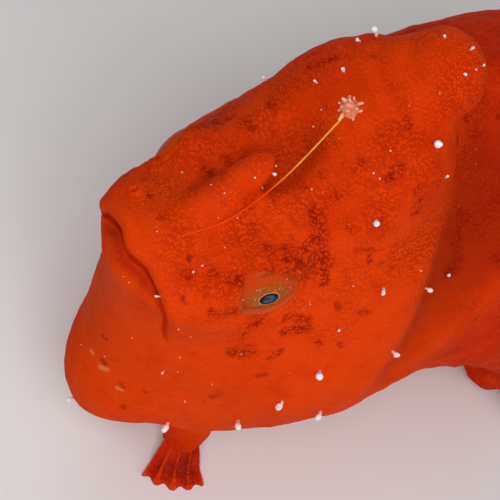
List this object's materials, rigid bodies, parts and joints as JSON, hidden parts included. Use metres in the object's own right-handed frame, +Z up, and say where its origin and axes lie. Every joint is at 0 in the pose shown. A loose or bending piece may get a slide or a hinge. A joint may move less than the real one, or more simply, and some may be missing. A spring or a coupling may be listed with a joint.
{
  "type": "frogfish",
  "caption": "Still, life-size frogfish with closed upturned mouth, raised back spines, fishing rod and lure, standing on its limb-like fins.",
  "frame": {"origin": "centre of the bounding box at floor level, under the fish", "axes": "the head faces -X and the tail +X, the fish's left side faces -Y, +Z is up"},
  "size_m": [0.1196, 0.0578, 0.0713],
  "materials": {
    "skin": "velvety wet skin with fine dark spinules and dusky mottles",
    "fin": "thin ribbed fin skin",
    "eye": "wet, dark pupil in a gold and brown iris",
    "rod": "amber translucent strand",
    "lure": "pale soft lobes"
  },
  "bodies": {
    "root": {"head": "skin", "lower_jaw": "skin", "torso": "skin", "tail_peduncle": "skin", "dorsal_spine_3": "skin", "dorsal_spine_2": "skin", "illicium": "rod", "esca": "lure", "dorsal_fin": "fin", "anal_fin": "fin", "caudal_fin": "fin", "eye_left": "eye", "pectoral_arm_left": "skin", "pectoral_fin_left": "fin", "pelvic_fin_left": "fin", "eye_right": "eye", "pectoral_arm_right": "skin", "pectoral_fin_right": "fin", "pelvic_fin_right": "fin"}
  },
  "joints": []
}
